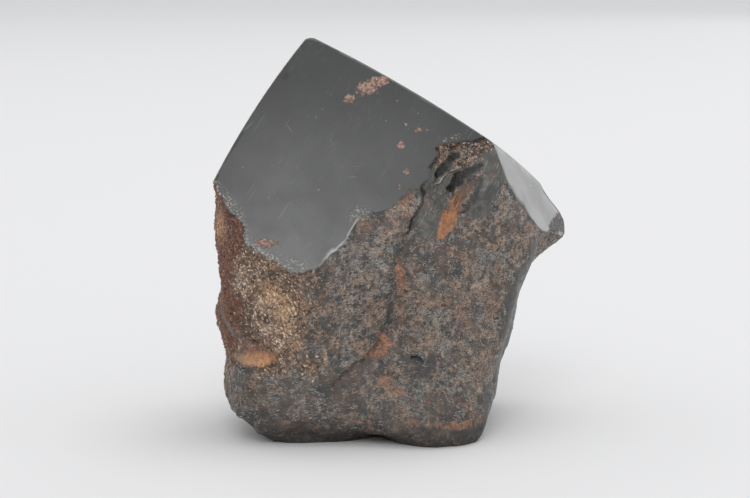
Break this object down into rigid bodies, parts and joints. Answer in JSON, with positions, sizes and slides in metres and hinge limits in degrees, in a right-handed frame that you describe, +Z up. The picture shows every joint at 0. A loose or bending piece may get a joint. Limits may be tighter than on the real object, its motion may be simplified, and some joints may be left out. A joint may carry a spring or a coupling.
{
  "type": "polished tourmaline point",
  "caption": "Freestanding black tourmaline point: one stone with rough natural sides, a polished faceted tip, a side spur and a flat sawn base.",
  "frame": {"origin": "on the sawn base, under the middle of the stone's outline", "axes": "+Z up from the base to the tip, -Y out of the large polished front face, +X towards the side spur"},
  "size_m": [0.0719, 0.0507, 0.0774],
  "materials": {
    "stone": "satin"
  },
  "bodies": {
    "root": {"stone": "stone"}
  },
  "joints": []
}
